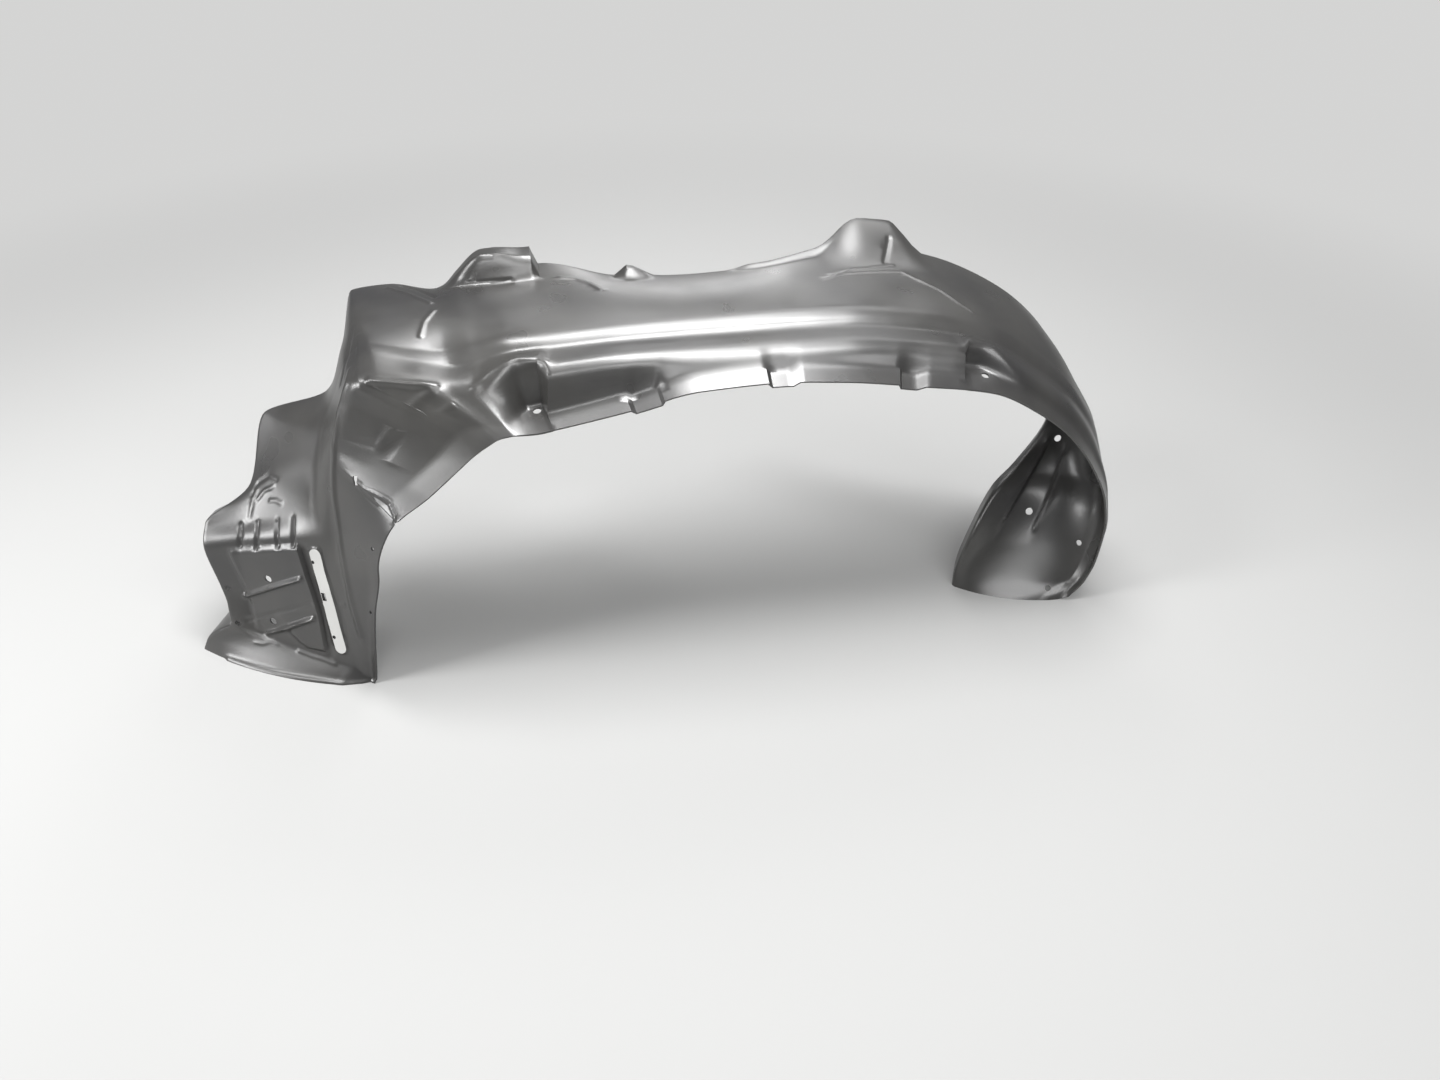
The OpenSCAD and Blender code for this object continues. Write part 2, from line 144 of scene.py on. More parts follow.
LAST = len(LINES) - 1

# samples of the fine mesh: stations along the arch, and points of each stretch of a section.
# A row of the mesh lies on each feature station.
STATIONS = 372
FEATURE_STATIONS = [
    2, 2.18, 2.3, 2.45, 2.96, 3.08, 3.22, 3.34, 4.86, 4.95, 5.05, 5.14, 5.5, 5.95, 6.1, 6.5, 6.97, 7.03,
    7.5, 16.65, 16.74, 16.84, 18.08, 18.13, 18.46, 18.51, 19.97, 20.03, 20.35, 20.4, 21.72, 21.77,
    22.02, 22.07, 22.58, 22.66]
TOP_SAMPLES = 46
PANEL_EDGES = [0.02, 0.09, 0.11, 0.14, 0.16, 0.18, 0.26, 0.34, 0.51, 0.59, 0.66, 0.72, 0.77, 0.81]
ROUND_SAMPLES = 5
FOOT_ROWS = 9
FLAT_SAMPLES = 3

# lines pressed into the finished sheet: height outwards, half width, and points on the outer face.
# A height below 0 is a groove.
CREASES = [
    # ledge, drop and folds of the front wall
    (2.2, 3.2, [(46, 61, 314), (60, 56, 314), (74, 51, 314), (85, 47, 314), (96, 44, 314),
        (106, 43, 312)]),
    (-1.2, 2.2, [(47, 58, 310), (43, 55, 292), (41, 53, 279), (38, 51, 266), (36, 48, 253)]),
    (1.0, 4, [(46, 44, 255), (55, 42, 266), (65, 41, 278), (76, 39, 289), (87, 39, 300),
        (101, 39, 309)]),
    (0.8, 4, [(56, 32, 243), (66, 33, 253), (77, 32, 264), (87, 31, 275), (98, 29, 284),
        (108, 28, 292), (119, 29, 299)]),
    # lines on the front shoulder, beside the turret
    (1.1, 2.2, [(93, 107, 333), (97, 125, 339), (106, 140, 343)]),
    (1.2, 2.0, [(58, 211, 340), (69, 197, 342), (80, 186, 342), (92, 170, 343), (103, 156, 344)]),
    (-1.6, 2.4, [(72, 217, 338), (86, 205, 339), (106, 170, 344)]),
    # hook at the joggle
    (1.5, 1.5, [(17, 42, 222), (24, 34, 217), (39, 23, 214), (49, 13, 210), (54, 2, 201),
        (52, 0, 195)]),
    # lines down the front corner
    (0.9, 3, [(35, 119, 332), (35, 100, 326), (35, 82, 319), (37, 64, 312), (37, 59, 301),
        (36, 58, 289), (35, 55, 277)]),
    (1.5, 3.2, [(27, 85, 314), (23, 74, 307), (17, 73, 294), (11, 72, 280), (7, 70, 269),
        (4, 68, 257), (0, 66, 246), (-2, 62, 232), (-5, 59, 218), (-7, 56, 203), (-8, 52, 192),
        (-8, 48, 180), (-8, 44, 168), (-9, 40, 155), (-9, 36, 144), (-9, 32, 133), (-9, 29, 120),
        (-9, 25, 107), (-9, 22, 94), (-8, 18, 81), (-6, 15, 67), (-5, 12, 54)]),
    (-1.0, 3, [(28, 135, 332), (25, 121, 323), (21, 108, 314), (18, 98, 306), (14, 93, 296)]),
    (-1.2, 2.5, [(35, 49, 255), (26, 50, 245), (17, 50, 236)]),
    # ribs of the pad, its step and its lower corner
    (3.5, 2.6, [(-125, 85, 67), (-109, 75, 77), (-94, 69, 85), (-76, 60, 95), (-59, 52, 104)]),
    (3.5, 2.6, [(-107, 64, 30), (-94, 59, 37), (-81, 50, 46), (-67, 45, 54), (-53, 39, 62)]),
    (-1.2, 2.6, [(-128, 76, 41), (-108, 69, 49), (-89, 59, 60), (-71, 51, 69), (-53, 43, 78)]),
    (0.9, 2.2, [(-76, 41, 20), (-64, 34, 18), (-51, 27, 17), (-39, 20, 15)]),
    # folds above the front panel
    (-1.0, 2.2, [(-100, 119, 168), (-94, 125, 177), (-80, 121, 187), (-71, 112, 187)]),
    (0.9, 2, [(-94, 112, 166), (-86, 114, 174), (-76, 110, 180)]),
    (0.9, 2, [(-80, 104, 168), (-74, 100, 170), (-68, 95, 169)]),
    (0.8, 2.4, [(-96, 121, 172), (-101, 111, 160), (-104, 104, 150)]),
    # four notches over the pad
    (-1.8, 1.8, [(-114, 103, 144), (-115, 94, 136), (-117, 90, 126)]),
    (-1.8, 1.8, [(-96, 97, 149), (-97, 86, 140), (-100, 80, 128)]),
    (-1.8, 1.8, [(-74, 86, 156), (-75, 76, 146), (-76, 69, 135)]),
    (-1.8, 1.8, [(-56, 77, 162), (-57, 68, 151), (-59, 61, 139)]),
    # faint mark on the tongue and dot on the flap
    (0.35, 1.8, [(-123, 62, 21), (-114, 58, 21), (-107, 58, 24), (-99, 53, 22)]),
    (1.0, 1.8, [(-20, 30, 84), (-17, 27, 86)]),
    # ridge over the front pocket
    (1.2, 4, [(141, 36, 311), (149, 42, 316), (156, 46, 321), (169, 47, 326), (182, 50, 329),
        (195, 46, 329), (208, 41, 329)]),
    # two lines on the rear leg
    (-1.3, 2.2, [(762, 118, 137), (753, 110, 127), (743, 102, 118), (733, 94, 108), (722, 85, 98),
        (712, 78, 87), (703, 71, 75)]),
    (-1.3, 2.2, [(777, 97, 133), (771, 92, 121), (765, 85, 110), (759, 78, 100), (751, 71, 88),
        (744, 65, 75), (737, 59, 62)]),
    # line round the tab on the top
    (0.9, 1.6, [(505, 152, 345), (519, 153, 345), (533, 154, 344), (548, 155, 344),
        (565, 156, 342), (582, 157, 341), (592, 144, 338), (603, 133, 336), (614, 124, 332),
        (622, 113, 328), (630, 103, 324), (639, 94, 319)]),
    # base of the turret and line behind it
    (-1.0, 2.2, [(118, 185, 345), (130, 186, 347), (141, 187, 349), (154, 187, 349),
        (168, 187, 349), (182, 187, 349)]),
    (1.1, 2.2, [(231, 186, 348), (246, 183, 347), (260, 170, 346), (269, 154, 346)]),
    # crease and base of the tab
    (-1.6, 2.6, [(583, 208, 358), (576, 191, 351), (569, 174, 346)]),
    (0.9, 2.2, [(496, 144, 345), (512, 152, 345), (528, 161, 345), (544, 162, 345),
        (560, 165, 344), (576, 168, 343)]),
    # rim of the tongue
    (2.2, 3.6, [(-2, 2, 0), (-5, 4, 0), (-8, 4, 0), (-14, 3, 0), (-21, 3, 0), (-25, 4, 0),
        (-30, 4, 0), (-33, 4, 0), (-41, 7, 0), (-56, 12, 0), (-66, 16, 0), (-82, 22, 0),
        (-94, 27, 0), (-106, 33, 0), (-119, 40, 0), (-130, 47, 0), (-141, 54, 0), (-153, 62, 0),
        (-155, 64, 0)]),
]

# the land beside the front pad, whose pale colour is a painted highlight
LAND = [
    (-37, 50, 134), (-36, 46, 118), (-34, 41, 102), (-33, 37, 85), (-32, 33, 67), (-31, 28, 51),
    (-29, 23, 34)]
LAND_W = 13
LAND_H = 1.8
LAND_SLOPE = 2
LAND_MARGIN = 4
# share of an edge's length within which a point is drawn onto the land's edge
LAND_SNAP = 0.55

# how finely the sheet is split near the pressed lines, and how many half widths away
CREASE_EDGE = 2.4
CREASE_PASSES = 3
CREASE_REACH = 2.6

TINY = 1e-6
FAR = 1e9
ACROSS = np.array([0, 1.0, 0])

# spans along X: where a feature starts to rise, is full, starts to fall and is level again
FLANGE_LANDS = [(280, 282, 309, 311), (409, 411, 435, 437), (536, 538, 559, 561)]
FRONT_POCKET = (134, 180)
FRONT_POCKET_END = (203, 209)
REAR_POCKET_START = (609, 615)
REAR_POCKET = (672, 632)

# values along the stations, as pairs of station and value
FLANGE_SHARE = [
    (0, 0.25), (6.9, 0.25), (7.1, 0.35), (14.6, 0.35), (15.6, 1), (26, 1), (27, 0.7), (28, 0.3),
    (29.3, 0.1), (31, 0.05)]
BAND_SHARE = [(12, 0), (16, 1), (24, 1), (28, 0)]
BAND_PLACE = [(24, 0.72), (28, 0.4), (29.3, 0.45), (30.5, 0.62)]
BACK_WIDTH = [
    (0, RETURN_LEN), (2, RETURN_LEN), (5, RETURN_LEN * 0.82), (6, RETURN_LEN * 0.5),
    (7, RETURN_LEN * 0.27), (8, RETURN_LEN * 0.13), (9, HEM_W * 1.25), (11, HEM_W), (26, HEM_W),
    (28, FOOT_EDGE * 0.8), (29, FOOT_EDGE)]
TURN_DOWN = [(6.5, 0), (8, 0.5), (10, 1), (25, 1), (27, 0)]
TURN_AWAY = [(0, 0.48), (1, 0.4), (2, 0.12), (12, 0.1), (26, 0.45)]
RIDGE_SHARE = [(12, 0.65), (16, 1), (24, 1), (28, 0.65)]
FOLD_SHARE = [(1.5, 0), (2.3, 1), (6.2, 1), (7.5, 0)]
LEG_PANEL_START = [(26.7, 0.54), (27.65, 0.42), (28.7, 0.39)]
LEG_PANEL_END = [(26.5, 0.84), (27.4, 0.77), (28.45, 0.72)]

# the holes: length of a cutter, and directions square to the sheet
CUTTER_L = 18
CUTTER_SIDES = 32
PAD_AXIS = [-0.46, -0.87, 0.2]
EDGE_AXIS = [-0.26, -0.94, 0.2]
LAND_AXIS = [-0.46, -0.87, 0.17]
FLAP_HIGH_AXIS = [-0.72, -0.64, 0.29]
FLAP_LOW_AXIS = [-0.77, -0.62, 0.17]
JOGGLE_AXIS = [-0.5, -0.74, 0.45]
CLIP_AXIS = [0, -0.3, 0.95]
LEG_HIGH_AXIS = [0.63, 0.37, -0.68]
LEG_REAR_AXIS = [0.8, 0.5, -0.33]

# looks
PLASTIC_CLEAN = (0.008, 0.008, 0.011, 1)
PLASTIC_DUSTY = (0.070, 0.068, 0.062, 1)
# pale colours of the land: a painted highlight, with the dust noise over it
PAINTED_HIGHLIGHT_CLEAN = (0.44, 0.44, 0.43, 1)
PAINTED_HIGHLIGHT_DUSTY = (0.64, 0.64, 0.62, 1)
PLASTIC_IOR = 1.49
PLASTIC_SPECULAR = 0.8
GLOSS = (0.21, 0.41)
GRAIN_STRENGTH = 0.1
GRAIN_DEPTH = 0.0004
WAVE_STRENGTH = 0.25
WAVE_DEPTH = 0.004
SHARP_ANGLE = 38
FLOOR_COLOUR = (0.43, 0.43, 0.425, 1)
FLOOR_ROUGHNESS = 0.9
FLOOR_HALF = 8
BACKDROP_COLOUR = (0.66, 0.66, 0.655, 1)
BACKDROP_START = 0.75
BACKDROP_FULL = 1.9
SKY_COLOUR = (0.92, 0.93, 0.95, 1)
SKY_LIGHT = 0.22
SKY_SEEN = 0.9

# name, place, target, size and power of each lamp
SHEEN = "sheen"
LAMPS = [
    ("overhead", (0.15, 0.1, 2.2), (0.05, 0, 0.3), (1.85, 0.35), 50),
    (SHEEN, (0.35, 0.0, 2.25), (0.3, 0, 0.3), (2.4, 0.9), 82),
    ("left", (-1.74, -0.34, 0.7), (-0.39, -0.04, 0.14), (0.5, 0.5), 15),
    ("upper_left", (-1.5, -0.3, 1.75), (-0.35, -0.05, 0.1), (0.6, 0.5), 16),
    ("front", (0.25, -1.3, 1.45), (0, -0.1, 0.3), (1.7, 0.3), 16),
    ("behind", (0.6, 1.35, 1.75), (0.1, 0, 0.3), (1.6, 0.45), 9),
    ("behind_low", (0.5, 1.9, 0.95), (0.15, 0, 0.33), (0.9, 0.3), 5),
]


def smooth(a, b, x):
    """0 up to a, 1 from b on, and a soft step between them."""
    t = np.clip((x - a) / (np.asarray(b) - a), 0, 1)
    return t * t * (3 - 2 * t)


def swell(a, b, x):
    """Grows slowly at first, then faster, up to 1."""
    return np.clip((x - a) / (b - a), 0, 1) ** 1.5


def plateau(x, up, full, down, level):
    """1 on a span and 0 outside it, with soft ends."""
    return smooth(up, full, x) - smooth(down, level, x)


def unit(v):
    return v / np.maximum(np.linalg.norm(v, axis=-1, keepdims=True), TINY)


def column(a):
    return np.asarray(a, float)[:, None]


def lookup(s, pairs):
    return np.interp(s, [p[0] for p in pairs], [p[1] for p in pairs])


def mix(p, q, t):
    return p + (q - p) * t


def edges_of(rows):
    """The five edges A, C, E, F and G of rows of the lines plan, as points."""
    a = np.stack([rows[:, 0], 0 * rows[:, 0], rows[:, 1]], 1)
    return [a] + [rows[:, k : k + 3] for k in (2, 5, 8, 11)]


def station_gaps():
    """Mean distance between neighbouring stations."""
    return np.mean([np.linalg.norm(np.diff(p, axis=0), axis=1) for p in edges_of(LINES)], axis=0)


GAPS = station_gaps()


def station_slopes():
    """Slope of each column at each station, without overshoot."""
    fall = np.diff(LINES, axis=0) / GAPS[:, None]
    slopes = np.zeros_like(LINES)
    slopes[0], slopes[-1] = fall[0], fall[-1]
    for i in range(1, LAST):
        a, b = fall[i - 1], fall[i]
        u = 2 * GAPS[i] + GAPS[i - 1]
        v = GAPS[i] + 2 * GAPS[i - 1]
        same = a * b > 0
        slopes[i][same] = (u + v) / (u / a[same] + v / b[same])
    return slopes


SLOPES = station_slopes()


def plan(s):
    """The lines plan at stations s."""
    i = np.minimum(np.floor(s).astype(int), LAST - 1)
    t = column(s - i)
    h = column(GAPS[i])
    return (
        (2 * t**3 - 3 * t**2 + 1) * LINES[i]
        + (t**3 - 2 * t**2 + t) * h * SLOPES[i]
        + (3 * t**2 - 2 * t**3) * LINES[i + 1]
        + (t**3 - t**2) * h * SLOPES[i + 1]
    )


def control(s):
    """Control points A, B, C, D, E, F, G and H of the sections at stations s."""
    a, c, e, f, g = [p.copy() for p in edges_of(plan(s))]
    n = unit(np.stack([c[:, 0] - 400, 0 * s, np.maximum(c[:, 2] - 60, 0)], 1))
    full = column(lookup(s, FLANGE_SHARE))
    xa, xc = a[:, 0], c[:, 0]
    land = column(sum(plateau(xa, *span) for span in FLANGE_LANDS))
    over = column(JOGGLE_H * smooth(6.97, 7.03, s) * (1 - smooth(7.5, 9, s)))
    tilt = math.radians(FLANGE_TILT)
    a = a - land * NOTCH_STEP * n - over * ACROSS
    b = (a + FLANGE_W * full * (math.cos(tilt) * ACROSS + math.sin(tilt) * n)
         + (c - a) * (1 - full) * 0.25)
    pocket = column(swell(*FRONT_POCKET, xc) * (1 - smooth(*FRONT_POCKET_END, xc))
                    + smooth(*REAR_POCKET_START, xc) * swell(*REAR_POCKET, xc))
    rise = column(smooth(136, 162, xc) * (1 - smooth(*FRONT_POCKET_END, xc))
                  + smooth(*REAR_POCKET_START, xc) * (1 - smooth(640, 668, xc)))
    b = b + POCKET_DEPTH * pocket * ACROSS
    c = c + POCKET_DEPTH * pocket * 0.6 * ACROSS + POCKET_RISE * rise * n
    w = column(lookup(s, BAND_SHARE))
    flat = column(lookup(s, BAND_PLACE))
    d = mix(mix(c, e, flat), e - RIDGE_RUN * ACROSS - RIDGE_STEP * n, w)
    back = column(lookup(s, BACK_WIDTH))
    turn = column(lookup(s, TURN_DOWN))
    away = column(lookup(s, TURN_AWAY))
    inward = unit(away * np.array([1.0, 0, 0]) + ACROSS)
    direction = unit(mix(inward, np.array([0, 0.25, -0.97]), turn))
    return [a, b, c, d, e, f, g, g + back * direction]


def rounded(p, q, r, radius, share, count):
    """Points that round the corner q between p and r, using up to a share of each side."""
    u = np.linalg.norm(p - q, axis=1, keepdims=True)
    v = np.linalg.norm(r - q, axis=1, keepdims=True)
    a = q + (p - q) / np.maximum(u, TINY) * np.minimum(radius, u * share)
    b = q + (r - q) / np.maximum(v, TINY) * np.minimum(radius, v * share)
    return [a * (1 - t) ** 2 + 2 * q * t * (1 - t) + b * t * t for t in np.linspace(0, 1, count)]


def ridge_rounding(c, s, count):
    """The rounding of ridge E, which is tighter on the front panel and on the rear leg."""
    k = column(lookup(s, RIDGE_SHARE))
    return rounded(c[3], c[4], c[5], STEP_R * k, 0.21 + 0.44 * k, count)


def fold(s):
    """How far the bow is two straight parts at station s."""
    return lookup(s, FOLD_SHARE)


def bow(e, f, g, t, k):
    """From e over f to g: a parabola, which turns into two straight parts as k goes to 1."""
    u = np.linalg.norm(f - e, axis=1)
    v = np.linalg.norm(g - f, axis=1)
    m = column(np.clip(u / (u + v), 0.3, 0.8))
    t, k = column(t), column(k)
    curve = (t - m) * (t - 1) / m * e + t * (t - 1) / (m * (m - 1)) * f + t * (t - m) / (1 - m) * g
    straight = np.where(t < m, mix(e, f, t / m), mix(f, g, (t - m) / (1 - m)))
    return mix(curve, straight, k)


def on_top(p, t):
    """Features that stand on the arch between ridge E and edge G."""
    x, y = p[:, 0], p[:, 1]
    turret = (smooth(112, 156, x) * (1 - 0.28 * smooth(165, 203, x)) * (1 - smooth(203, 209, x))
              * smooth(184, 200, y))
    peak = np.where(x < 301, smooth(288, 301, x), 1 - smooth(301, 332, x)) * smooth(0.8, 1, t)
    lip = plateau(x, 404, 432, 500, 530) * smooth(0.9, 1, t)
    tab = smooth(498, 556, x) * (1 - smooth(589, 624, x))
    rise = TURRET_H * turret + PEAK_H * peak + EDGE_LIP * lip + TAB_H * tab * smooth(0.55, 1, t)
    return np.stack([0 * x, TAB_REACH * tab * smooth(0.5, 1, t), rise], 1)


def on_panel(s, t):
    """The pad of the front panel and the groove beside it."""
    until = 1 - smooth(5.78, 5.93, s)
    groove = plateau(t, 0.09, 0.11, 0.14, 0.16) * smooth(2, 2.18, s) * until
    low = smooth(0.3, 0.6, t)
    start = smooth(2.18 + 0.7 * low, 2.3 + 1.7 * low, s)
    pad = plateau(t, 0.14, 0.16, 0.77, 0.81) * start * until
    height = pad * PAD_H - groove * GROOVE_H
    return column(height) * PANEL_OUT


def on_leg(s, t):
    """The long panel pressed into the rear leg."""
    u = lookup(s, LEG_PANEL_START)
    v = lookup(s, LEG_PANEL_END)
    along = smooth(26.2, 26.8, s)
    depth = plateau(t, u, u + 0.07, v, v + 0.07) * along * (1 - smooth(28.4, 29.2, s))
    return column(LEG_FOLD * depth) * LEG_OUT


def arch_share(s):
    """0 on the front panel and 1 on the arch, where the samples of a section are spread evenly."""
    return lookup(s, [(7.5, 0), (9.5, 1)])


def top_samples():
    """Where the samples lie between E and G, on the panel and on the arch."""
    even = np.linspace(0, 0.965, TOP_SAMPLES + 1)[1:]
    panel = even.copy()
    for edge in PANEL_EDGES:
        panel[np.argmin(np.abs(panel - edge))] = edge
    return panel, even * 0.99


def sections(s):
    """The outer face at stations s, as an array of points."""
    c = control(s)
    n = ROUND_SAMPLES
    rb = rounded(c[0], c[1], c[2], BEND_R, 0.3, n)
    rc = rounded(c[1], c[2], c[3], RIDGE_R, 0.5, n + 2)
    rd = rounded(c[2], c[3], c[4], BEND_R, 0.3, n)
    re = ridge_rounding(c, s, n + 2)

    def between(p, q, count):
        return [mix(p, q, k / count) for k in range(1, count)]

    top = []
    for panel_t, arch_t in zip(*top_samples()):
        t = mix(panel_t, arch_t, arch_share(s))
        p = bow(re[-1], c[5], c[6], t, fold(s))
        top.append(p + on_top(p, t) + on_panel(s, np.full_like(s, panel_t)) + on_leg(s, t))
    ones = np.ones_like(s)
    tip = c[6] + on_top(c[6], ones)
    end = c[7] + on_top(c[6], ones)
    rg = rounded(top[-1], tip, end, HEM_R, 0.45, n)
    m = FLAT_SAMPLES
    parts = ([c[0]] + between(c[0], rb[0], m) + rb + between(rb[-1], rc[0], m) + rc
             + between(rc[-1], rd[0], m + 2) + rd + between(rd[-1], re[0], m) + re + top
             + rg + between(rg[-1], end, m + 2) + [end])
    return np.stack(parts, 1)


def normals(grid):
    """Outward direction of the sheet at each grid point, turning level towards the two feet."""
    u = np.gradient(grid, axis=0)
    v = np.gradient(grid, axis=1)
    n = unit(np.cross(u, v))
    rows = np.arange(len(grid))
    n[:, :, 2] *= np.minimum(1, np.minimum(rows, rows[::-1]) / FOOT_ROWS)[:, None]
    return unit(n)


def fine_stations():
    """Even stations, of which the nearest to each feature is moved onto it."""
    even = np.linspace(0, LAST, STATIONS)
    for station in FEATURE_STATIONS:
        even[np.argmin(np.abs(even - station))] = station
    return even


def sheet_mesh():
    """The closed sheet: outer face, inner face and the rim round both."""
    s = fine_stations()
    outer = sections(s)
    inner = outer - SHEET_T * normals(outer)
    ns, nv = outer.shape[:2]
    verts = np.concatenate([outer.reshape(-1, 3), inner.reshape(-1, 3)])
    i, j = np.meshgrid(np.arange(ns - 1), np.arange(nv - 1), indexing="ij")
    at = (i * nv + j).ravel()
    side = ns * nv
    faces = [
        np.stack([at, at + 1, at + nv + 1, at + nv], 1),
        np.stack([at + side, at + side + nv, at + side + nv + 1, at + side + 1], 1),
    ]
    a = np.arange(ns - 1) * nv
    faces.append(np.stack([a, a + nv, a + nv + side, a + side], 1))
    b = a + nv - 1
    faces.append(np.stack([b, b + side, b + nv + side, b + nv], 1))
    c = np.arange(nv - 1)
    faces.append(np.stack([c, c + side, c + side + 1, c + 1], 1))
    d = c + (ns - 1) * nv
    faces.append(np.stack([d, d + 1, d + side + 1, d + side], 1))
    return verts, np.concatenate(faces)[:, ::-1]


def foot_on(points, line):
    """The nearest point to each point on a line of several straight parts, and its distance."""
    best = np.full(len(points), FAR)
    feet = np.zeros_like(points)
    for a, b in zip(line[:-1], line[1:]):
        run = b - a
        foot = a + np.clip((points - a) @ run / (run @ run), 0, 1)[:, None] * run
        away = np.linalg.norm(points - foot, axis=1)
        feet = np.where((away < best)[:, None], foot, feet)
        best = np.minimum(best, away)
    return feet, best


def distance_to(points, line):
    return foot_on(points, line)[1]


def middle(verts):
    """Middle of the sheet in X and Y, which is the origin of the part."""
    lo, hi = verts.min(0), verts.max(0)
    return np.array([(lo[0] + hi[0]) / 2, (lo[1] + hi[1]) / 2, 0])


def spot(s, t):
    """A point between ridge E and edge G."""
    s = np.array([float(s)])
    c = control(s)
    p = bow(ridge_rounding(c, s, 3)[-1], c[5], c[6], np.array([float(t)]), fold(s))
    return (p + on_top(p, np.array([float(t)])))[0]


def corner(s, k, share):
    """A point on the control polygon."""
    c = control(np.array([float(s)]))
    return mix(c[k], c[k + 1], share)[0]


def square_to(p, q, n):
    """The direction nearest to n that is square to the line from p to q."""
    d = unit(q - p)
    n = np.array(n, float)
    return unit(n - (n @ d) * d)


def mesh_object(name, verts, faces):
    mesh = bpy.data.meshes.new(name)
    mesh.from_pydata(verts.tolist(), [], faces.tolist())
    obj = bpy.data.objects.new(name, mesh)
    bpy.context.collection.objects.link(obj)
    return obj


def round_cutter(bm, p, n, d):
    turn = Vector(n).to_track_quat("Z", "Y").to_matrix().to_4x4()
    bmesh.ops.create_cone(bm, cap_ends=True, segments=CUTTER_SIDES, radius1=d / 2 * MM, radius2=d / 2 * MM,
                          depth=CUTTER_L * MM, matrix=Matrix.Translation(Vector(p) * MM) @ turn)


def square_cutter(bm, p, n, turn, a, b):
    """A box across the sheet, turned about n as in part.scad."""
    n = unit(np.array(n, float))
    tilt = Matrix.Rotation(math.acos(n[2]), 4, "Y")
    head = Matrix.Rotation(math.atan2(n[1], n[0]), 4, "Z")
    spin = Matrix.Rotation(math.radians(turn), 4, "Z")
    size = Matrix.Diagonal((a * MM, b * MM, CUTTER_L * MM, 1))
    place = Matrix.Translation(Vector(p) * MM) @ head @ tilt @ spin @ size
    bmesh.ops.create_cube(bm, size=1, matrix=place)


def cutters(shift):
    """All holes as one mesh, at the same places as in part.scad."""
    bm = bmesh.new()

    def pair(p, q, n, d):
        n = square_to(p, q, n)
        round_cutter(bm, p - shift, n, d)
        round_cutter(bm, q - shift, n, d)

    def single(p, n, d):
        round_cutter(bm, p - shift, unit(np.array(n)), d)

    def slot(p, n, turn, a, b):
        square_cutter(bm, p - shift, n, turn, a, b)

    pair(spot(5.13, 0.52), spot(3.47, 0.61), PAD_AXIS, PAD_HOLE_D)
    pair(spot(5, 0.94), spot(3.08, 0.94), EDGE_AXIS, EDGE_HOLE_D)
    pair(spot(5.25, 0.055), spot(2.6, 0.055), LAND_AXIS, LAND_HOLE_D)
    slot(spot(3.75, 0.055), LAND_AXIS, 8, LAND_SLOT_H, LAND_SLOT_W)
    single(corner(5.5, 0, 0.75), FLAP_HIGH_AXIS, FLAP_HOLE_D)
    single(corner(3, 0, 0.6), FLAP_LOW_AXIS, FLAP_HOLE_D)
    slot(corner(7.08, 1, 0.55), JOGGLE_AXIS, 100, SLOT_W, SLOT_L)
    pair(corner(16.4, 0, 0.83), corner(22.94, 0, 0.73), CLIP_AXIS, CLIP_HOLE_D)
    single(spot(26.4, 0.78), LEG_HIGH_AXIS, LEG_HOLE_D)
    single(spot(28.37, 0.56), LEG_OUT, LEG_HOLE_D)
    single(spot(28.85, 0.012), LEG_REAR_AXIS, FOOT_HOLE_D)
    single(spot(30.4, 0.05), LEG_OUT, FOOT_HOLE_D)
    mesh = bpy.data.meshes.new("cutters")
    bm.to_mesh(mesh)
    bm.free()
    obj = bpy.data.objects.new("cutters", mesh)
    bpy.context.collection.objects.link(obj)
    return obj


def cut(obj, tool):
    """Applies one boolean cut and removes the tool."""
    modifier = obj.modifiers.new("holes", "BOOLEAN")
    modifier.operation = "DIFFERENCE"
    modifier.solver = "MANIFOLD"
    modifier.object = tool
    graph = bpy.context.evaluated_depsgraph_get()
    done = bpy.data.meshes.new_from_object(obj.evaluated_get(graph))
    obj.modifiers.clear()
    obj.data = done
    bpy.data.objects.remove(tool)


def refine_near(bm, reaches):
    """Splits the long edges that lie within reach of a line."""
    for _ in range(CREASE_PASSES):
        bm.verts.index_update()
        near = np.zeros(len(bm.verts), bool)
        points = np.array([v.co for v in bm.verts]) / MM
        for reach, line in reaches:
            near |= distance_to(points, line) < reach
        edges = [e for e in bm.edges if near[e.verts[0].index] and near[e.verts[1].index]
                 and e.calc_length() > CREASE_EDGE * MM]
        if not edges:
            break
        bmesh.ops.subdivide_edges(bm, edges=edges, cuts=1, use_grid_fill=True)
    bmesh.ops.triangulate(bm, faces=[f for f in bm.faces if len(f.verts) > 4])
    bm.normal_update()
    bm.verts.index_update()
    bm.verts.ensure_lookup_table()


def crease_rise(points, sides, lines):
    """How far the pressed lines lift each point. Inner points are a sheet's thickness below."""
    below = (SHEET_T * sides) ** 2
    rise = np.zeros(len(points))
    for height, width, line in lines:
        away = np.sqrt(np.maximum(distance_to(points, line) ** 2 - below, 0))
        rise += height * np.exp(-((away / width) ** 2))
    return rise


def distance_to_land(bm, points, outer, land):
    """Distance of each point to the land's middle line.

    Outer points near the edge of the land are drawn onto it, so that its edge is clean.
    """
    half = LAND_W / 2
    feet, away = foot_on(points, land)
    on_edge = (np.abs(away - half) < LAND_SNAP * CREASE_EDGE) & outer
    moved = feet + (points - feet) * (half / np.maximum(away, TINY))[:, None]
    for k in np.where(on_edge)[0]:
        bm.verts[k].co = Vector(moved[k] * MM)
    away[on_edge] = half
    return away


